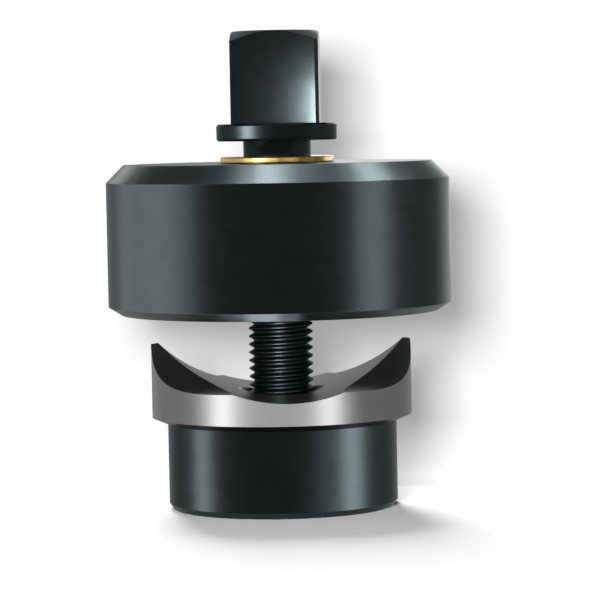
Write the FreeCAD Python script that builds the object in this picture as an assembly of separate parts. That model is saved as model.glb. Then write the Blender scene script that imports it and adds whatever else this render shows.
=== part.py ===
import FreeCAD, Part
import math
import os

# Screw-type knockout punch for round holes in sheet metal. All sizes are in millimetres.
# The cutter stands on its skirt. The origin is the centre of the cutter's underside,
# +Z runs up the draw screw to its square head, and the two horns stand on +X and -X.

# Cutter
hole_diameter = 40.5         # the hole that it cuts, and so the diameter of its band
skirt_diameter = 35.7
skirt_height = 13.3
skirt_edge_width = 0.6       # chamfer round the foot of the skirt
skirt_edge_height = 0.9
undercut_rise = 1.0          # cone from the skirt out to the lower edge of the band
land_height = 3.4            # ground land between the band's lower edge and the saddle
saddle_radius = 26.4         # hollow grind across the top, with its axis front to back
facet_radius = 21.0          # the four hollow grinds that thin the horns
facet_offset = 17.85         # from the plane through both horns to a facet's axis
facet_lift = 1.33            # lowest line of a facet above the lowest line of the saddle
facet_skew = 7.0             # degrees between a facet's axis and the X axis
grinding_stock = 1.0         # blank above the horns that the grinds take away
countersink_diameter = 11.7  # at both ends of the tapped hole
countersink_half_angle = 45.0

# Die
die_diameter = 53.4
die_height = 23.2
web_thickness = 8.2          # between the top face and the roof of the hollow
die_top_chamfer = 2.7
die_foot_width = 2.0         # chamfer round the lower edge
die_foot_height = 1.25
roof_fillet = 1.2            # in the corner of the hollow
slug_clearance = 0.12        # all round, between the cutter and the hollow
web_hole_chamfer = 0.4

# Thrust washer
washer_diameter = 17.65
washer_thickness = 0.95
washer_edge = 0.12

# Draw screw
thread_diameter = 10.0       # outside diameter of the M10 x 1.25 thread
neck_diameter = 10.5
shank_length = 54.5          # underside of the collar to the point
point_chamfer = 0.9
neck_overrun = 1.4           # how far the neck reaches past the die's web
neck_runout = 0.3            # cone from the neck down to the thread
collar_diameter = 18.8
collar_thickness = 2.65
collar_edge = 0.3
head_across_flats = 13.6
head_across_corners = 18.5   # the square's corners are turned to this circle
head_height = 14.3
head_crown_diameter = 13.2   # where the turned cone on top begins
head_crown_angle = 30.0      # degrees that the cone falls
head_turn = -5.4             # degrees that the square stands round from the X axis

# Fits, each all round
thread_clearance = 0.05      # the screw in the cutter's tapped hole
neck_clearance = 0.15        # the neck in the die's web
washer_clearance = 0.2       # the neck in the washer

# Where the pieces stand with the screw part of the way in
sheet_gap = 4.65             # from the tips of the horns to the die's working face
collar_play = 2.45           # from the washer to the collar

# Heights that follow from the sizes above
hole_radius = hole_diameter / 2
band_z = skirt_height + undercut_rise
saddle_z = band_z + land_height
tip_offset = facet_offset - hole_radius * math.sin(math.radians(facet_skew))
tip_rise = facet_lift + facet_radius - math.sqrt(facet_radius ** 2 - tip_offset ** 2)
tip_z = saddle_z + tip_rise
die_z = tip_z + sheet_gap
roof_z = die_z + die_height - web_thickness
die_top_z = die_z + die_height
washer_top_z = die_top_z + washer_thickness
collar_z = washer_top_z + collar_play
head_z = collar_z + collar_thickness
neck_end_z = roof_z - neck_overrun

up = FreeCAD.Vector(0, 0, 1)
centre = FreeCAD.Vector(0, 0, 0)


def edges_through(points):
    corners = [FreeCAD.Vector(radius, 0, height) for radius, height in points]
    return [Part.LineSegment(a, b).toShape() for a, b in zip(corners, corners[1:])]


def turned(edges):
    face = Part.Face(Part.Wire(edges))
    return face.revolve(centre, up, 360)


def turned_outline(points):
    return turned(edges_through(points + points[:1]))


# One turned bar: skirt, undercut and band, tall enough for the horns
def cutter_blank():
    skirt_radius = skirt_diameter / 2
    crest_rise = facet_lift + facet_radius - math.sqrt(facet_radius ** 2 - facet_offset ** 2)
    blank_top = saddle_z + crest_rise + grinding_stock
    return turned_outline([
        (0, 0),
        (skirt_radius - skirt_edge_width, 0),
        (skirt_radius, skirt_edge_height),
        (skirt_radius, skirt_height),
        (hole_radius, band_z),
        (hole_radius, blank_top),
        (0, blank_top),
    ])


# The wheel passes front to back and leaves the saddle between the horns
def saddle_grind():
    start = FreeCAD.Vector(0, -hole_diameter, saddle_z + saddle_radius)
    return Part.makeCylinder(saddle_radius, 2 * hole_diameter, start, FreeCAD.Vector(0, 1, 0))


# A facet falls from the crest of one horn to its front or back, and a little outwards.
# Its wheel starts between the horns, so it leaves the other horn alone.
def facet_grind(side, face):
    skew = math.radians(facet_skew)
    across = FreeCAD.Vector(side * math.sin(skew), face * math.cos(skew), 0)
    outwards = FreeCAD.Vector(side * math.cos(skew), -face * math.sin(skew), 0)
    start = across * facet_offset
    start.z = saddle_z + facet_lift + facet_radius
    return Part.makeCylinder(facet_radius, hole_diameter, start, outwards)


# The tapped hole through the cutter, opened out at both ends
def tapped_hole():
    radius = thread_diameter / 2 + thread_clearance
    slope = math.tan(math.radians(countersink_half_angle))
    depth = (countersink_diameter / 2 - radius) / slope
    reach = tip_rise / 2
    return turned_outline([
        (0, -reach),
        (radius + (depth + reach) * slope, -reach),
        (radius, depth),
        (radius, saddle_z - depth),
        (radius + (depth + reach) * slope, saddle_z + reach),
        (0, saddle_z + reach),
    ])


def make_cutter():
    grinds = [saddle_grind()]
    for side in (-1, 1):
        for face in (-1, 1):
            grinds.append(facet_grind(side, face))
    return cutter_blank().cut(grinds + [tapped_hole()])


# A turned cup, open below, with a web that the screw passes through
def make_die():
    outer = die_diameter / 2
    hollow = hole_radius + slug_clearance
    hole = neck_diameter / 2 + neck_clearance
    outside = edges_through([
        (hollow, roof_z - roof_fillet),
        (hollow, die_z),
        (outer - die_foot_width, die_z),
        (outer, die_z + die_foot_height),
        (outer, die_top_z - die_top_chamfer),
        (outer - die_top_chamfer, die_top_z),
        (hole + web_hole_chamfer, die_top_z),
        (hole, die_top_z - web_hole_chamfer),
        (hole, roof_z),
        (hollow - roof_fillet, roof_z),
    ])
    half_way = roof_fillet * (1 - math.sqrt(0.5))
    corner = Part.Arc(
        FreeCAD.Vector(hollow - roof_fillet, 0, roof_z),
        FreeCAD.Vector(hollow - half_way, 0, roof_z - half_way),
        FreeCAD.Vector(hollow, 0, roof_z - roof_fillet),
    )
    return turned(outside + [corner.toShape()])


def make_thrust_washer():
    outer = washer_diameter / 2
    inner = neck_diameter / 2 + washer_clearance
    return turned_outline([
        (inner, die_top_z),
        (outer - washer_edge, die_top_z),
        (outer, die_top_z + washer_edge),
        (outer, washer_top_z - washer_edge),
        (outer - washer_edge, washer_top_z),
        (inner, washer_top_z),
    ])


# Collar, neck and shank, turned in one from the point upwards
def screw_shank():
    point_z = collar_z - shank_length
    thread = thread_diameter / 2
    neck = neck_diameter / 2
    collar = collar_diameter / 2
    return turned_outline([
        (0, point_z),
        (thread - point_chamfer, point_z),
        (thread, point_z + point_chamfer),
        (thread, neck_end_z - neck_runout),
        (neck, neck_end_z),
        (neck, collar_z),
        (collar - collar_edge, collar_z),
        (collar, collar_z + collar_edge),
        (collar, head_z - collar_edge),
        (collar - collar_edge, head_z),
        (0, head_z),
    ])


# The square is milled from a round bar, so its corners keep the bar's circle and cone
def square_head():
    bar = head_across_corners / 2
    crown = head_crown_diameter / 2
    fall = (bar - crown) * math.tan(math.radians(head_crown_angle))
    top = head_z + head_height
    round_bar = turned_outline([(0, head_z), (bar, head_z), (bar, top - fall), (crown, top), (0, top)])
    flat = head_across_flats / 2
    square = Part.makeBox(2 * flat, 2 * flat, head_height, FreeCAD.Vector(-flat, -flat, head_z))
    square.rotate(centre, up, head_turn)
    return round_bar.common(square)


def make_draw_screw():
    return screw_shank().fuse(square_head()).removeSplitter()


def single_solid(shape):
    if len(shape.Solids) != 1 or not shape.isValid():
        raise ValueError("a piece did not come out as one valid solid")
    return shape.Solids[0]


pieces = {
    "cutter": make_cutter,
    "die": make_die,
    "thrust_washer": make_thrust_washer,
    "draw_screw": make_draw_screw,
}

os.makedirs("parts", exist_ok=True)
for name, make in pieces.items():
    solid = single_solid(make())
    solid.exportStep("parts/" + name + ".step")
    print(name, "volume", round(solid.Volume, 1), "mm3, top at", round(solid.BoundBox.ZMax, 2))
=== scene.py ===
import math

import bmesh
import bpy
from mathutils import Matrix, Vector


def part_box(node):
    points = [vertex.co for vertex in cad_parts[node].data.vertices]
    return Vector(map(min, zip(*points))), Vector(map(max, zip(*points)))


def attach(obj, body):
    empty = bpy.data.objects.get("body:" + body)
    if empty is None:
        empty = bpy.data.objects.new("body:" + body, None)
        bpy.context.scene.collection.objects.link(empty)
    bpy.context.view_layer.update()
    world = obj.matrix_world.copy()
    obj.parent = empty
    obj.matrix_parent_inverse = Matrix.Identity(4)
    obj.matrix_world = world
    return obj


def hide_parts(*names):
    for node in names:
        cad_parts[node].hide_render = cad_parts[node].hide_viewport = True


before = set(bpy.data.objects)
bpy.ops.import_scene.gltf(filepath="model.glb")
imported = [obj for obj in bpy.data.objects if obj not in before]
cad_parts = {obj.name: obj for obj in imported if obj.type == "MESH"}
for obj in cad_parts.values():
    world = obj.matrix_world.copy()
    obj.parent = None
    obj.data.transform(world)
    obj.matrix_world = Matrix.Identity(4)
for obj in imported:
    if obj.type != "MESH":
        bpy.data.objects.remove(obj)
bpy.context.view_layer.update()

mm = 0.001
print("frame loaded:", ", ".join(sorted(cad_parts)))


# A socket that can stand in a sum: each operator adds its own Math node
class Wire:
    def __init__(self, sheet, socket):
        self.sheet = sheet
        self.socket = socket

    def maths(self, operation, *terms):
        return self.sheet.make("ShaderNodeMath", {"operation": operation}, dict(enumerate(terms)))

    def other(self, name):
        return Wire(self.sheet, self.socket.node.outputs[name])

    def __add__(self, term):
        return self.maths("ADD", self, term)

    def __radd__(self, term):
        return self.maths("ADD", term, self)

    def __sub__(self, term):
        return self.maths("SUBTRACT", self, term)

    def __rsub__(self, term):
        return self.maths("SUBTRACT", term, self)

    def __mul__(self, term):
        return self.maths("MULTIPLY", self, term)

    def __rmul__(self, term):
        return self.maths("MULTIPLY", term, self)

    def __truediv__(self, term):
        return self.maths("DIVIDE", self, term)

    def __rtruediv__(self, term):
        return self.maths("DIVIDE", term, self)

    def __pow__(self, term):
        return self.maths("POWER", self, term)

    def __gt__(self, term):
        return self.maths("GREATER_THAN", self, term)

    def __lt__(self, term):
        return self.maths("LESS_THAN", self, term)


# A node tree: make() adds any node, with its settings first and then its sockets
class Sheet:
    def __init__(self, tree):
        self.tree = tree
        tree.nodes.clear()

    def make(self, kind, settings=None, sockets=None, out=0):
        node = self.tree.nodes.new(kind)
        for name, value in (settings or {}).items():
            setattr(node, name, value)
        for name, value in (sockets or {}).items():
            self.feed(node.inputs[name], value)
        return Wire(self, node.outputs[out]) if len(node.outputs) else node

    def feed(self, socket, value):
        if isinstance(value, Wire):
            self.tree.links.new(value.socket, socket)
        elif socket.type == "RGBA" and len(value) == 3:
            socket.default_value = (*value, 1.0)
        else:
            socket.default_value = value

    def blend(self, factor, first, second):
        return self.make("ShaderNodeMix", {"data_type": "RGBA"}, {0: factor, 6: first, 7: second}, out=2)

    def ease(self, value, start, end):
        return self.make("ShaderNodeMapRange", {"interpolation_type": "SMOOTHSTEP"}, {
            "Value": value, "From Min": start, "From Max": end, "To Min": 0.0, "To Max": 1.0})

    def noise(self, vector, scale, detail, rough):
        return self.make("ShaderNodeTexNoise", {"normalize": True}, {
            "Vector": vector, "Scale": scale, "Detail": detail, "Roughness": rough})

    def vector(self, x, y, z):
        return self.make("ShaderNodeCombineXYZ", None, {"X": x, "Y": y, "Z": z})

    def dot(self, first, second):
        return self.make("ShaderNodeVectorMath", {"operation": "DOT_PRODUCT"}, {
            0: first, 1: second}, out="Value")


# Sizes of the CAD pieces in mm, which tell their surfaces apart and place the wear and painted edge
# highlight along their edges
cutterForm = {
    "skirtRadius": 17.85,
    "skirtTop": 13.3,
    "skirtEdgeWidth": 0.6,
    "skirtEdgeHeight": 0.9,
    "bandFoot": 14.3,
    "bandRadius": 20.25,
    "holeRadius": 6.75,      # with its countersinks
    "saddleRadius": 26.4,
}
dieForm = {"topChamfer": 2.7, "footWidth": 2.0, "footHeight": 1.25}
screwForm = {"neckFoot": 43.6835, "collarFoot": 56.9835, "headFoot": 59.6335}


# Each finish works in millimetres on the piece's own coordinates
def startFinish(name):
    material = bpy.data.materials.new(name)
    material.use_nodes = True
    sheet = Sheet(material.node_tree)
    place = sheet.make("ShaderNodeTexCoord", out="Object")
    inMm = sheet.make("ShaderNodeVectorMath", {"operation": "SCALE"}, {0: place, "Scale": 1000.0})
    x = sheet.make("ShaderNodeSeparateXYZ", None, {0: inMm})
    y, z = x.other("Y"), x.other("Z")
    radius = (x * x + y * y) ** 0.5
    turn = x.maths("ARCTAN2", y, x)
    return material, sheet, {"spot": inMm, "x": x, "y": y, "z": z, "radius": radius, "turn": turn}


lacquerRoughness = 0.15      # of the clear coat, where a finish has one


def endFinish(sheet, colour, roughness, height, heightMm, lacquer=0.0):
    bump = sheet.make("ShaderNodeBump", None, {
        "Strength": 1.0, "Distance": heightMm * mm, "Height": height})
    surface = sheet.make("ShaderNodeBsdfPrincipled", None, {
        "Base Color": colour, "Roughness": roughness, "Metallic": 1.0, "Normal": bump,
        "Coat Weight": lacquer, "Coat Roughness": lacquerRoughness})
    sheet.make("ShaderNodeOutputMaterial", None, {"Surface": surface})


# How near a turned edge is, from 0 to 1, for the wear and painted edge highlight along it
def nearEdge(sheet, at, edges, width):
    mask = 0.0
    for radius, height in edges:
        away = ((at["radius"] - radius) ** 2.0 + (at["z"] - height) ** 2.0) ** 0.5
        mask = at["z"].maths("MAXIMUM", mask, 1.0 - sheet.ease(away, width * 0.2, width))
    return mask


# Light specks of dust that sit here and there on the oiled film
def dustSpecks(sheet, at, cell, share, size):
    cells = sheet.make("ShaderNodeTexVoronoi", {"feature": "F1"}, {"Vector": at["spot"], "Scale": 1 / cell})
    pick = sheet.make("ShaderNodeSeparateColor", None, {0: cells.other("Color")})
    return (cells < size / cell) * (pick > 1 - share)


# Black oxide: a faintly mottled bluish film, with the fine grain of the bath over turning rings
oxideLook = {
    "dark": (0.070, 0.090, 0.094),
    "light": (0.096, 0.122, 0.128),
    "roughness": 0.32,
    # rubbed-bright steel along the edges, which also serves as a painted edge highlight
    "wornAndSheen": (0.26, 0.27, 0.27),
    "dust": (0.5, 0.51, 0.51),
    "patchScale": 0.35,      # patches of wear and painted edge highlight along an edge, for each mm
    "wearAndSheenWidth": 0.20,       # mm, and so are the sizes below
    "mottleSize": 3.2,
    "grainSize": 0.13,
    "ringSize": 0.20,
    "bump": 0.0030,
    "speckCell": 7.0,
    "speckShare": 0.06,
    "speckSize": 0.09,
}


def makeOxide(name, edges=(), edgeWearAndSheen=0.3, tint=(1.0, 1.0, 1.0), specks=False, rougher=0.0):
    look = oxideLook
    material, sheet, at = startFinish(name)
    mottle = sheet.noise(at["spot"], 1 / look["mottleSize"], 4.0, 0.6)
    grain = sheet.noise(at["spot"], 1 / look["grainSize"], 2.0, 0.6)
    ringPlace = sheet.vector(at["radius"] / look["ringSize"], at["z"] / look["ringSize"], at["turn"] * 0.6)
    rings = sheet.noise(ringPlace, 1.0, 3.0, 0.7)
    tone = sheet.ease(mottle * 0.35 + grain * 0.45 + rings * 0.2, 0.3, 0.7)
    dark, light = [[c * t for c, t in zip(look[shade], tint)] for shade in ("dark", "light")]
    colour = sheet.blend(tone, dark, light)
    uneven = (mottle - 0.5) * 0.05 + (grain - 0.5) * 0.10 + (rings - 0.5) * 0.05
    roughness = look["roughness"] + rougher + uneven
    # wear along the turned edges, which also paints their faint highlight
    if edges:
        patchy = sheet.ease(sheet.noise(at["spot"], look["patchScale"], 3.0, 0.6), 0.35, 0.7)
        wornAndSheen = nearEdge(sheet, at, edges, look["wearAndSheenWidth"]) * (0.35 + 0.65 * patchy) * edgeWearAndSheen
        colour = sheet.blend(wornAndSheen, colour, look["wornAndSheen"])
    if specks:
        dust = dustSpecks(sheet, at, look["speckCell"], look["speckShare"], look["speckSize"])
        colour = sheet.blend(dust, colour, look["dust"])
    endFinish(sheet, colour, roughness, grain * 0.6 + rings * 0.4, look["bump"])
    return material


# Ground steel: lines run round the band, and along the wheel's path on the saddle and the facets
groundLook = {
    "light": (0.46, 0.46, 0.455),
    "dark": (0.38, 0.38, 0.375),
    "roughness": 0.34,
    "bump": 0.0025,
    "bandSkin": 0.06,        # mm under the band's radius that still count as band
    "lineScale": 9.0,        # grinding lines for each mm round the band
    "wheelScale": 7.0,       # and across the wheels' paths
    "drawnOut": 0.35,        # the same lines along the wheels' paths
    "cloudScale": 0.45,
}


def makeGround(name, acrossSaddle):
    look = groundLook
    material, sheet, at = startFinish(name)
    x, y, z = at["x"], at["y"], at["z"]
    band = at["radius"] > cutterForm["bandRadius"] - look["bandSkin"]
    roundPlace = sheet.vector(z * look["lineScale"], at["turn"] * 2.2, at["radius"] * 0.2)
    roundLines = sheet.noise(roundPlace, 1.0, 4.0, 0.75)
    across, along = (y, x) if acrossSaddle else (x, y)
    wheelPlace = sheet.vector(across * look["wheelScale"], along * look["drawnOut"], z * look["drawnOut"])
    wheelLines = sheet.noise(wheelPlace, 1.0, 4.0, 0.75)
    cloud = sheet.noise(at["spot"], look["cloudScale"], 3.0, 0.6)
    lines = roundLines * band + wheelLines * (1.0 - band)
    colour = sheet.blend(lines * 0.55 + cloud * 0.45, look["dark"], look["light"])
    roughness = look["roughness"] + (lines - 0.5) * 0.12 + (cloud - 0.5) * 0.06
    endFinish(sheet, colour, roughness, lines, look["bump"])
    return material


# Rolled brass under a clear lacquer
brassLook = {
    "pale": (0.90, 0.61, 0.20),
    "deep": (0.80, 0.50, 0.11),
    "roughness": 0.28,
    "bump": 0.0015,
    "lacquer": 1.0,
}


def makeBrass():
    look = brassLook
    material, sheet, at = startFinish("washerBrass")
    cloud = sheet.noise(at["spot"], 0.5, 3.0, 0.6)
    rolled = sheet.noise(sheet.vector(at["x"] * 0.4, at["y"] * 8.0, at["z"] * 8.0), 1.0, 4.0, 0.7)
    colour = sheet.blend(cloud * 0.6 + rolled * 0.4, look["deep"], look["pale"])
    roughness = look["roughness"] + (rolled - 0.5) * 0.10
    endFinish(sheet, colour, roughness, rolled, look["bump"], look["lacquer"])
    return material


# The turned edges that rub bright, where the wear also paints a faint highlight, each as a radius and a
# height in mm
dieLow, dieHigh = [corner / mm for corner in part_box("die")]
dieEdges = [
    (dieHigh.x, dieHigh.z - dieForm["topChamfer"]),
    (dieHigh.x - dieForm["topChamfer"], dieHigh.z),
    (dieHigh.x, dieLow.z + dieForm["footHeight"]),
    (dieHigh.x - dieForm["footWidth"], dieLow.z),
]
skirtEdges = [
    (cutterForm["skirtRadius"], cutterForm["skirtEdgeHeight"]),
    (cutterForm["skirtRadius"] - cutterForm["skirtEdgeWidth"], 0.0),
]
dieOxide = makeOxide("dieBlackOxide", dieEdges, 0.30, specks=True)
screwOxide = makeOxide("screwBlackOxide")
threadOxide = makeOxide("threadBlackOxide", rougher=0.10)
skirtOxide = makeOxide("cutterBlackOxide", skirtEdges, 0.12)
undercutOxide = makeOxide("undercutOxide", tint=(0.95, 0.62, 0.50))
# the tapped hole's oxide is darkened to paint the shade inside the hole
holeShadeOxide = makeOxide("tappedHoleOxide", tint=(0.45, 0.40, 0.38))
groundSteel = makeGround("groundSteel", acrossSaddle=True)
facetSteel = makeGround("facetSteel", acrossSaddle=False)
brass = makeBrass()
print("finishes made")


# How closely a face is matched with the sizes of its piece
zoneSet = {
    "nearly": 0.01,          # mm
    "nearBand": 0.05,
    "holeFacing": -0.3,      # a wall of the hole faces the axis at least this much
    "saddleSlope": 9.0,      # degrees from the saddle's own slope
}


# The surface of the cutter that a face lies on, told from its place and its slope
def cutterZone(face):
    form, near = cutterForm, zoneSet["nearly"]
    radii = [math.hypot(v.co.x, v.co.y) / mm for v in face.verts]
    heights = [v.co.z / mm for v in face.verts]
    middle = face.calc_center_median() / mm
    outward = middle.to_2d()
    facing = face.normal.to_2d().dot(outward)
    if max(radii) < form["holeRadius"] and facing < zoneSet["holeFacing"] * outward.length:
        return "hole"
    if max(heights) < form["skirtTop"] + near:
        return "skirt"
    if max(heights) < form["bandFoot"] + near:
        return "undercut"
    if min(radii) > form["bandRadius"] - zoneSet["nearBand"]:
        return "band"
    tilt = middle.x / form["saddleRadius"]
    saddleNormal = Vector((-tilt, 0.0, math.sqrt(1 - tilt * tilt)))
    return "saddle" if face.normal.angle(saddleNormal) < math.radians(zoneSet["saddleSlope"]) else "facet"


def screwZone(face):
    form, near = screwForm, zoneSet["nearly"]
    heights = [v.co.z / mm for v in face.verts]
    if min(heights) > form["headFoot"] - near and max(heights) > form["headFoot"] + near:
        return "head"
    if min(heights) > form["collarFoot"] - near:
        return "collar"
    return "neck" if min(heights) > form["neckFoot"] - near else "shank"


def whole(face):
    return "whole"


def makePlain(piece):
    graph = bpy.context.evaluated_depsgraph_get()
    plain = bpy.data.meshes.new_from_object(piece.evaluated_get(graph))
    piece.modifiers.clear()
    piece.data = plain
    plain.name = piece.name


copySet = {
    "mergeWithin": 0.002,    # mm
    "hardAngle": 24.0,       # degrees between two faces, from which their edge is hard
    "flatAngle": 0.4,        # and up to which they join into one
    "edgeSegments": 3,
}


# A copy of a CAD node, or of the zones of it that are named, with hard edges broken where a width is given
def nodeCopy(nodeName, name, zoneOf, finishOf, edgeWidth):
    work = bmesh.new()
    work.from_mesh(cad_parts[nodeName].data)
    bmesh.ops.remove_doubles(work, verts=work.verts, dist=copySet["mergeWithin"] * mm)
    work.normal_update()
    zones = {face: zoneOf(face) for face in work.faces}
    hardAngle = math.radians(copySet["hardAngle"])
    for edge in work.edges:
        met = {zones[face] for face in edge.link_faces}
        edge.smooth = len(met) == 1 and edge.calc_face_angle(0.0) < hardAngle
    slots = list(dict.fromkeys(finishOf.values()))
    for face, zone in zones.items():
        face.smooth = True
        if zone in finishOf:
            face.material_index = slots.index(finishOf[zone])
    spare = [face for face, zone in zones.items() if zone not in finishOf]
    bmesh.ops.delete(work, geom=spare, context="FACES")
    if edgeWidth:
        bmesh.ops.dissolve_limit(
            work, angle_limit=math.radians(copySet["flatAngle"]), verts=work.verts, edges=work.edges,
            delimit={"NORMAL", "MATERIAL"})
    mesh = bpy.data.meshes.new(name)
    work.to_mesh(mesh)
    work.free()
    for material in slots:
        mesh.materials.append(material)
    piece = bpy.data.objects.new(name, mesh)
    bpy.context.scene.collection.objects.link(piece)
    if edgeWidth:
        bevel = piece.modifiers.new("brokenEdges", "BEVEL")
        bevel.width = edgeWidth * mm
        bevel.segments = copySet["edgeSegments"]
        bevel.limit_method = "ANGLE"
        bevel.angle_limit = hardAngle
        even = piece.modifiers.new("evenNormals", "WEIGHTED_NORMAL")
        even.mode = "FACE_AREA"
        even.keep_sharp = True
        makePlain(piece)
    return piece


def settle(piece, body, node):
    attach(piece, body)
    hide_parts(node)
    return piece


edgeWidths = {"die": 0.10, "washer": 0.05, "head": 0.14, "collar": 0.10}      # mm, of the broken edges

dieBody = settle(
    nodeCopy("die", "dieBody", whole, {"whole": dieOxide}, edgeWidths["die"]),
    "die", "die")
washer = settle(
    nodeCopy("thrust_washer", "thrustWasher", whole, {"whole": brass}, edgeWidths["washer"]),
    "die", "thrust_washer")
cutterSkirt = settle(
    nodeCopy("cutter", "cutterSkirt", cutterZone,
             {"skirt": skirtOxide, "undercut": undercutOxide, "hole": holeShadeOxide}, 0.0),
    "cutter", "cutter")
cutterCrown = settle(
    nodeCopy("cutter", "cutterCrown", cutterZone,
             {"band": groundSteel, "saddle": groundSteel, "facet": facetSteel}, 0.0),
    "cutter", "cutter")
squareHead = settle(
    nodeCopy("draw_screw", "squareHead", screwZone, {"head": screwOxide}, edgeWidths["head"]),
    "draw_screw", "draw_screw")
screwCollar = settle(
    nodeCopy("draw_screw", "screwCollar", screwZone, {"collar": screwOxide}, edgeWidths["collar"]),
    "draw_screw", "draw_screw")
settle(
    nodeCopy("draw_screw", "screwNeck", screwZone, {"neck": screwOxide}, 0.0),
    "draw_screw", "draw_screw")
print("turned pieces made")


# The thread: a strip of crest, flank, root and flank that climbs round the shank
threadSizes = {
    "outerRadius": 5.0,      # mm
    "rootRadius": 4.235,
    "pitch": 1.25,
    "crestShare": 0.13,      # of the pitch
    "rootShare": 0.15,
    "pointChamfer": 0.9,
    "runout": 0.9,
    "fadedShare": 0.15,      # of the runout, at its top, where the groove is gone
    "intoNeck": 0.05,
    "startTurn": 107.0,      # degrees
    "stepsPerTurn": 72,
    "hardAngle": 28.0,
    "mergeWithin": 0.004,    # mm
}


def makeThreadTree():
    tree = bpy.data.node_groups.new("screwThread", "GeometryNodeTree")
    face = tree.interface
    face.new_socket(name="Geometry", in_out="OUTPUT", socket_type="NodeSocketGeometry")
    for name in ("Outer Radius", "Root Radius", "Pitch", "Crest Share", "Root Share", "Foot", "Top",
                 "Turns", "Point Chamfer", "Runout", "Start Turn"):
        face.new_socket(name=name, in_out="INPUT", socket_type="NodeSocketFloat")
    face.new_socket(name="Steps Per Turn", in_out="INPUT", socket_type="NodeSocketInt")
    face.new_socket(name="Finish", in_out="INPUT", socket_type="NodeSocketMaterial")

    sheet = Sheet(tree)
    given = sheet.make("NodeGroupInput")
    take = given.other
    outer, root, pitch = take("Outer Radius"), take("Root Radius"), take("Pitch")
    foot, top, turns, runout = take("Foot"), take("Top"), take("Turns"), take("Runout")
    point, start, steps = take("Point Chamfer"), take("Start Turn"), take("Steps Per Turn")
    strip = sheet.make("GeometryNodeMeshGrid", None, {
        "Size X": 4.0, "Size Y": turns, "Vertices X": 5, "Vertices Y": turns * steps + 1.0})
    spot = sheet.make("ShaderNodeSeparateXYZ", None, {0: sheet.make("GeometryNodeInputPosition")})
    corner = spot + 2.0
    climbed = spot.other("Y") + turns / 2.0
    flank = (1.0 - take("Crest Share") - take("Root Share")) / 2.0
    across = (take("Crest Share") * (corner > 0.5) + flank * (corner > 1.5)
              + take("Root Share") * (corner > 2.5) + flank * (corner > 3.5))
    deep = (corner > 1.5) - (corner > 3.5)
    height = foot + pitch * (climbed + across - 1.0)
    height = height.maths("MAXIMUM", height, foot)
    height = height.maths("MINIMUM", height, top)
    fade = sheet.make("ShaderNodeMapRange", {"clamp": True}, {
        "Value": height, "From Min": top - runout, "From Max": top - runout * threadSizes["fadedShare"],
        "To Min": 0.0, "To Max": 1.0})
    radius = outer - (outer - root) * deep * (1.0 - fade)
    radius = radius.maths("MINIMUM", radius, outer - point + (height - foot))
    angle = climbed * (2 * math.pi) + start
    place = sheet.vector(radius * angle.maths("COSINE", angle), radius * angle.maths("SINE", angle), height)
    wound = sheet.make("GeometryNodeSetPosition", None, {"Geometry": strip, "Position": place})

    # a disc closes each end
    def endDisc(discRadius, discHeight):
        disc = sheet.make("GeometryNodeMeshCircle", {"fill_type": "NGON"}, {
            "Vertices": steps, "Radius": discRadius})
        return sheet.make("GeometryNodeTransform", None, {
            "Geometry": disc,
            "Translation": sheet.vector(0.0, 0.0, discHeight),
            "Rotation": sheet.vector(0.0, 0.0, start)})

    footDisc = sheet.make("GeometryNodeFlipFaces", None, {"Mesh": endDisc(outer - point, foot)})
    joined = sheet.make("GeometryNodeJoinGeometry")
    for part in (wound, footDisc, endDisc(outer, top)):
        tree.links.new(part.socket, joined.socket.node.inputs[0])
    merged = sheet.make("GeometryNodeMergeByDistance", None, {
        "Geometry": joined, "Distance": threadSizes["mergeWithin"] * mm})
    solid = sheet.make("GeometryNodeRealizeInstances", None, {"Geometry": merged})
    painted = sheet.make("GeometryNodeSetMaterial", None, {"Geometry": solid, "Material": take("Finish")})
    sheet.make("NodeGroupOutput", None, {"Geometry": painted})
    return tree


def growPiece(name, tree, values):
    piece = bpy.data.objects.new(name, bpy.data.meshes.new(name))
    bpy.context.scene.collection.objects.link(piece)
    modifier = piece.modifiers.new("grow", "NODES")
    modifier.node_group = tree
    for item in tree.interface.items_tree:
        if item.in_out == "INPUT":
            modifier[item.identifier] = values[item.name]
    makePlain(piece)
    piece.data.shade_smooth()
    piece.data.set_sharp_from_angle(angle=math.radians(threadSizes["hardAngle"]))
    return piece


threadTree = makeThreadTree()
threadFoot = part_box("draw_screw")[0].z
threadTop = (screwForm["neckFoot"] + threadSizes["intoNeck"]) * mm
screwThread = growPiece("screwThread", threadTree, {
    "Outer Radius": threadSizes["outerRadius"] * mm,
    "Root Radius": threadSizes["rootRadius"] * mm,
    "Pitch": threadSizes["pitch"] * mm,
    "Crest Share": threadSizes["crestShare"],
    "Root Share": threadSizes["rootShare"],
    "Foot": threadFoot,
    "Top": threadTop,
    "Turns": float(math.ceil((threadTop - threadFoot) / (threadSizes["pitch"] * mm)) + 1),
    "Point Chamfer": threadSizes["pointChamfer"] * mm,
    "Runout": threadSizes["runout"] * mm,
    "Start Turn": math.radians(threadSizes["startTurn"]),
    "Steps Per Turn": threadSizes["stepsPerTurn"],
    "Finish": threadOxide,
})
settle(screwThread, "draw_screw", "draw_screw")
print("thread made:", len(screwThread.data.polygons), "faces")


# The camera stands a little left of the front, as in the photograph
cameraSet = {
    "azimuth": -3.6,         # degrees, left of the front
    "elevation": 3.37,
    "roll": 1.105,
    "aim": (3.12, 32.07),    # mm right of the screw's axis, and up
    "distance": 467.9,       # mm
    "lens": 180.0,
    "sensor": 36.0,
    "clipStart": 10.0,
}


# Azimuth 0 is the camera's side of the object, and 90 is the right-hand side
def direction(azimuth, elevation):
    a, e = math.radians(azimuth + cameraSet["azimuth"]), math.radians(elevation)
    return Vector((math.sin(a) * math.cos(e), -math.cos(a) * math.cos(e), math.sin(e)))


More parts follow.
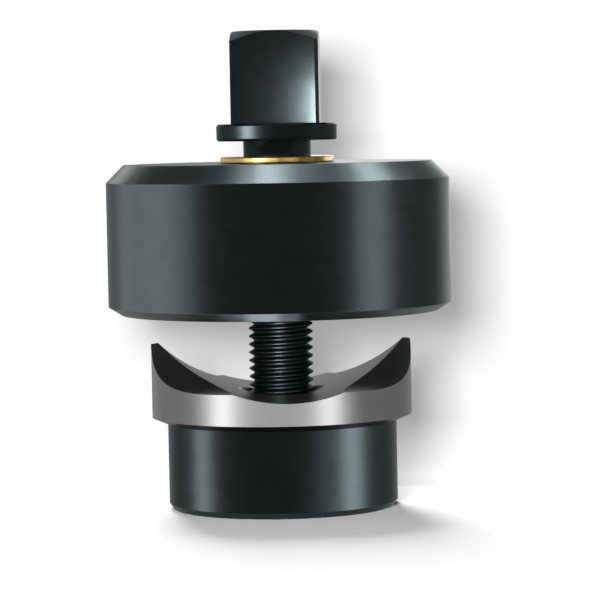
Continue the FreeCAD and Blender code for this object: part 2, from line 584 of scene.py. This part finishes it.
def makeCamera():
    back, right = direction(0, cameraSet["elevation"]), direction(90, 0)
    roll = math.radians(cameraSet["roll"])
    up = back.cross(right)
    across = right * math.cos(roll) - up * math.sin(roll)
    upwards = up * math.cos(roll) + right * math.sin(roll)
    aside, rise = cameraSet["aim"]
    aim = right * (aside * mm) + Vector((0, 0, rise * mm))
    data = bpy.data.cameras.new("camera")
    data.sensor_width = cameraSet["sensor"]
    data.lens = cameraSet["lens"]
    data.clip_start = cameraSet["clipStart"] * mm
    camera = bpy.data.objects.new("camera", data)
    bpy.context.scene.collection.objects.link(camera)
    camera.matrix_world = (
        Matrix.Translation(aim + back * (cameraSet["distance"] * mm))
        @ Matrix((across, upwards, back)).transposed().to_4x4())
    bpy.context.scene.camera = camera


makeCamera()

# The room as metal sees it: a dark tent that opens a little to the sides and the back, over a grey floor
roomSet = {
    "fill": 0.45,            # what lights matt surfaces
    "front": 0.085,
    "side": 0.16,
    "back": 0.38,
    "ceiling": 0.15,
    "ceilingBack": 0.35,
    "floor": 0.25,
    # degrees round or up, over which one part of the room turns into the next
    "sideFrom": (50.0, 80.0),
    "backFrom": (135.0, 165.0),
    "ceilingFrom": (28.0, 50.0),
    "floorUpTo": (-45.0, -25.0),
}


def makeRoom():
    world = bpy.data.worlds.new("room")
    bpy.context.scene.world = world
    world.use_nodes = True
    world.cycles.sampling_method = "NONE"
    sheet = Sheet(world.node_tree)
    toward = sheet.make("ShaderNodeTexCoord", out="Generated")
    x = sheet.make("ShaderNodeSeparateXYZ", None, {0: toward})
    y, z = x.other("Y"), x.other("Z")
    azimuth = x.maths("ABSOLUTE", x.maths("ARCTAN2", x, 0.0 - y) * (180 / math.pi) - cameraSet["azimuth"])
    elevation = z.maths("ARCSINE", z) * (180 / math.pi)
    room = roomSet
    toSide, toBack = sheet.ease(azimuth, *room["sideFrom"]), sheet.ease(azimuth, *room["backFrom"])
    wall = room["front"] + (room["side"] - room["front"]) * toSide + (room["back"] - room["side"]) * toBack
    ceiling = room["ceiling"] + (room["ceilingBack"] - room["ceiling"]) * toBack
    floor = room["floor"] + (room["back"] - room["floor"]) * toBack
    isCeiling = sheet.ease(elevation, *room["ceilingFrom"])
    isFloor = 1.0 - sheet.ease(elevation, *room["floorUpTo"])
    shade = wall * (1.0 - isCeiling - isFloor) + ceiling * isCeiling + floor * isFloor
    path = sheet.make("ShaderNodeLightPath", out="Is Camera Ray")
    shine = path.maths("MAXIMUM", path.other("Is Glossy Ray"), path.other("Is Transmission Ray"))
    strength = path + (1.0 - path) * (shine * shade + (1.0 - shine) * room["fill"])
    glow = sheet.make("ShaderNodeBackground", None, {"Color": (1.0, 1.0, 1.0), "Strength": strength})
    sheet.make("ShaderNodeOutputWorld", None, {"Surface": glow})


makeRoom()

# Two lamps that only light the studio's floor and wall. The one in front lays the object's soft shadow
# on the wall behind it, and the one behind lays the cutter's shadow on the floor in front. Angles and half
# sizes are in degrees, and distances in mm.
stageLamps = {
    "frontLamp": {
        "azimuth": -8.5, "elevation": 13.4, "halfWidth": 7.0, "halfHeight": 7.0, "distance": 548},
    "rearLamp": {
        "azimuth": -170.0, "elevation": 29.0, "halfWidth": 7.0, "halfHeight": 17.0, "distance": 30000},
}

# The sweep: a pale floor that curves up into a backdrop, open from behind, and a floor that runs on past
# it. Its paint gives the front lamp its share of white all over, and a glow that only the camera sees makes
# up the rest.
sweepSet = {
    "half": 3.0,             # metres
    "wall": 32.0,            # mm behind the screw's axis
    "curve": 10.0,           # mm, the radius between floor and wall
    "steps": 72,             # flat strips in the curve
    "drop": 0.02,            # mm from the cutter down to the floor
    "wallShare": 0.635,      # of white, from the lamp in front
    "floorShare": 0.36,
    "rearShare": 0.68,       # of the floor's white, from the lamp behind
    "fillShare": 0.85,       # of the room's light on matt surfaces, that reaches the sweep
    "leastFront": 0.9,       # with less light than this from the front lamp, the paint gets no paler
    "white": 1.025,
    "floorLift": 0.05,       # added for the floor
    # mm behind the axis, over which the floor beyond the wall turns plain white
    "fadeOut": (22.0, 36.0),
}

# The light of each lamp on a surface at the object that faces it
frontStrength = 24.0
stageStrength = {
    "frontLamp": frontStrength,
    "rearLamp": frontStrength * sweepSet["rearShare"] / sweepSet["floorShare"]
    * math.sin(math.radians(stageLamps["frontLamp"]["elevation"]))
    / math.sin(math.radians(stageLamps["rearLamp"]["elevation"])),
}


# One sheet of the studio. Both lamps' light is worked out at every place on it, and so is the paint.
def addStage(name, corners, faces, openBehind):
    mesh = bpy.data.meshes.new(name)
    mesh.from_pydata(corners, [], faces)
    piece = bpy.data.objects.new(name, mesh)
    bpy.context.scene.collection.objects.link(piece)
    material = bpy.data.materials.new(name)
    material.use_nodes = True
    sheet = Sheet(material.node_tree)
    form, fill = sweepSet, roomSet["fill"] * sweepSet["fillShare"]

    def lightFrom(lamp):
        reach = stageLamps[lamp]["distance"] * mm
        axis = direction(stageLamps[lamp]["azimuth"], stageLamps[lamp]["elevation"])
        toLamp = sheet.make("ShaderNodeVectorMath", {"operation": "SUBTRACT"}, {0: axis * reach, 1: place})
        away = sheet.make("ShaderNodeVectorMath", {"operation": "LENGTH"}, {0: toLamp}, out="Value") / reach
        aslant, along = sheet.dot(toLamp, surface), sheet.dot(toLamp, axis)
        met = aslant.maths("MAXIMUM", aslant, 0.0) * along.maths("MAXIMUM", along, 0.0)
        return met / away ** 4.0 * (stageStrength[lamp] / math.pi / reach ** 2)

    place = sheet.make("ShaderNodeTexCoord", out="Object")
    surface = sheet.make("ShaderNodeNewGeometry", out="Normal")
    level = sheet.make("ShaderNodeSeparateXYZ", None, {0: surface}, out="Z")
    front, rear = lightFrom("frontLamp"), lightFrom("rearLamp")
    share = form["wallShare"] + (form["floorShare"] - form["wallShare"]) * level
    paint = share / front.maths("MAXIMUM", front, form["leastFront"])
    given = paint * (fill + front + rear)
    seen = sheet.make("ShaderNodeLightPath", out="Is Camera Ray")
    missing = given.maths("MAXIMUM", form["white"] + form["floorLift"] * level - given, 0.0) * seen
    colour = sheet.make("ShaderNodeCombineColor", None, {"Red": paint, "Green": paint, "Blue": paint})
    matt = sheet.make("ShaderNodeBsdfDiffuse", None, {"Color": colour})
    glow = sheet.make("ShaderNodeEmission", None, {"Color": (1.0, 1.0, 1.0), "Strength": missing})
    lit = sheet.make("ShaderNodeAddShader", None, {0: matt, 1: glow})
    if openBehind:
        mask = surface.other("Backfacing")
        rest = sheet.make("ShaderNodeBsdfTransparent", None, {"Color": (1.0, 1.0, 1.0)})
    else:
        mask = sheet.ease(sheet.dot(place, direction(180, 0)), *[depth * mm for depth in form["fadeOut"]])
        rest = sheet.make("ShaderNodeEmission", None, {"Color": (1.0, 1.0, 1.0), "Strength": seen})
    both = sheet.make("ShaderNodeMixShader", None, {0: mask, 1: lit, 2: rest})
    sheet.make("ShaderNodeOutputMaterial", None, {"Surface": both})
    mesh.materials.append(material)
    piece.visible_glossy = False
    piece.visible_diffuse = False
    piece.visible_shadow = False
    return piece


def makeSweep():
    form = sweepSet
    back, side = direction(180, 0), direction(90, 0)
    curve, wall, half = form["curve"] * mm, form["wall"] * mm, form["half"]

    def pair(depth, height):
        middle = back * depth + Vector((0, 0, height - form["drop"] * mm))
        return [middle + side * aside for aside in (-half, half)]

    corners = pair(-half, 0.0)
    for step in range(form["steps"] + 1):
        angle = math.radians(90 * step / form["steps"])
        corners += pair(wall - curve + curve * math.sin(angle), curve - curve * math.cos(angle))
    corners += pair(wall, half)
    faces = [(n, n + 1, n + 3, n + 2) for n in range(0, len(corners) - 2, 2)]
    floorBeyond = pair(wall - curve, 0.0) + pair(half, 0.0)
    return [addStage("paleSweep", corners, faces, True),
            addStage("paleFloorBeyond", floorBeyond, [(0, 1, 3, 2)], False)]


stageSheets = makeSweep()


# Lamps. Each lights only what it is meant for, as flags and grids do in a studio.
def collect(name, things):
    group = bpy.data.collections.new(name)
    for thing in things:
        group.objects.link(thing)
    return group


def onlyFor(lamp, things):
    lamp.light_linking.receiver_collection = collect(lamp.name + "Lit", things)


def aimAt(lamp, target):
    lamp.rotation_mode = "QUATERNION"
    lamp.rotation_quaternion = (lamp.location - target).to_track_quat("Z", "Y")


def makeLamp(name, azimuth, elevation, halfWidth, halfHeight, distance, centre=(0, 0, 0)):
    data = bpy.data.lights.new(name, "AREA")
    data.shape = "RECTANGLE"
    data.size = 2 * distance * mm * math.tan(math.radians(halfWidth))
    data.size_y = 2 * distance * mm * math.tan(math.radians(halfHeight))
    lamp = bpy.data.objects.new(name, data)
    bpy.context.scene.collection.objects.link(lamp)
    target = Vector(centre) * mm
    lamp.location = target + direction(azimuth, elevation) * distance * mm
    aimAt(lamp, target)
    lamp.visible_camera = False
    return lamp


for lampName, place in stageLamps.items():
    stageLamp = makeLamp(lampName, *place.values())
    stageLamp.data.energy = stageStrength[lampName] * math.pi * stageLamp.location.length_squared
    stageLamp.visible_glossy = False
    onlyFor(stageLamp, stageSheets)
    if lampName == "rearLamp":
        stageLamp.light_linking.blocker_collection = collect("rearLampShades", [cutterSkirt, cutterCrown])

# Softboxes, which show only as gloss: where each stands as seen from the object, its half sizes and its
# level. Angles are in degrees, and at -3 of elevation an upright side mirrors the softbox to the camera.
softboxSet = {"centre": (0, 0, 45), "distance": 1000}      # mm
softboxes = [
    ("dieLeftWide", [dieBody], -95, -3, 37, 16, 0.95),
    ("dieLeftCore", [dieBody], -84, -3, 14, 16, 0.4),
    ("dieRight", [dieBody], 64.5, -3, 11, 16, 1.6),
    ("dieRightEnd", [dieBody], 152, -3, 14, 16, 0.4),
    ("dieTopFront", [dieBody], -48, 85.0, 3.5, 4, 30.0),
    ("dieTopSoft", [dieBody], 20, 80.0, 16, 15, 1.0),
    ("dieTopRight", [dieBody], 108, 54.5, 4.5, 4.5, 29.0),
    ("dieTopLeft", [dieBody], -156, 22, 5, 7, 1.5),
    ("skirtLeft", [cutterSkirt], -87, -3, 9, 30, 2.4),
    ("skirtRight", [cutterSkirt], 73, -3, 11, 30, 3.1),
    ("skirtRightSoft", [cutterSkirt], 45, -3, 13, 30, 0.3),
    ("bandLeftPeak", [cutterCrown], -53, -3, 9, 30, 2.6),
    ("bandRightPeak", [cutterCrown], 42, -3, 9, 30, 2.2),
    ("bandFront", [cutterCrown], -9, -3, 68, 30, 0.70),
    ("bandLeft", [cutterCrown], -118, -3, 36, 30, 0.15),
    ("bandRight", [cutterCrown], 112, -3, 36, 30, 0.08),
    ("collarPeak", [screwCollar], -58, -1, 10, 30, 6.6),
    ("washerFront", [washer], -35, -3, 36, 9, 2.7),
    ("washerGlint", [washer], -37, -3, 11, 6, 11.0),
    ("washerSoft", [washer], 26, -3, 15, 9, 1.2),
    ("washerLeft", [washer], -112, -3, 40, 9, 0.6),
    ("washerRightEnd", [washer], 130, -3, 20, 9, 1.8),
    ("rearStrip", [dieBody, cutterSkirt, screwCollar, squareHead, washer], 172, 12, 9, 15, 1.3),
    ("lowLeft", [dieBody, cutterCrown, screwCollar, squareHead], -50, -50, 12, 13, 1.3),
    ("lowRight", [dieBody, cutterCrown, screwCollar, squareHead], 75, -50, 9, 13, 0.9),
]
# Five more stand nearer, each at its own distance in mm from the place that it is aimed at: two just under
# the die's lower chamfer, one off the lower right corner of the square, a narrow one for the streak down
# the thread, and a faint one for the light on the die's underside, which the facets show
nearSoftboxes = [
    ("dieFootSoft", [dieBody], 184, -61, 36, 8, 1.5, (-5.0, -25.7, 31.0), 10),
    ("dieFootCore", [dieBody], 184, -61, 16, 8, 3.1, (-4.3, -25.7, 31.0), 10),
    ("headGlow", [squareHead], 0, 0, 10, 21, 38.0, (8.2, -6.8, 60.6), 14),
    ("threadStreak", [screwThread], -8, -3, 6, 40, 13.0, (0, -5, 25), 400),
    ("dieUnderside", [cutterCrown], 0, 90, 72, 72, 0.016, (0, 0, 22), 8),
]


def makeSoftbox(name, things, azimuth, elevation, halfWidth, halfHeight, level,
                centre=softboxSet["centre"], distance=softboxSet["distance"]):
    lamp = makeLamp(name, azimuth, elevation, halfWidth, halfHeight, distance, centre)
    lamp.data.energy = level * math.pi * lamp.data.size * lamp.data.size_y
    lamp.visible_diffuse = False
    onlyFor(lamp, things)


for box in softboxes + nearSoftboxes:
    makeSoftbox(*box)
print("studio made")

scene = bpy.context.scene
scene.view_settings.view_transform = "Standard"
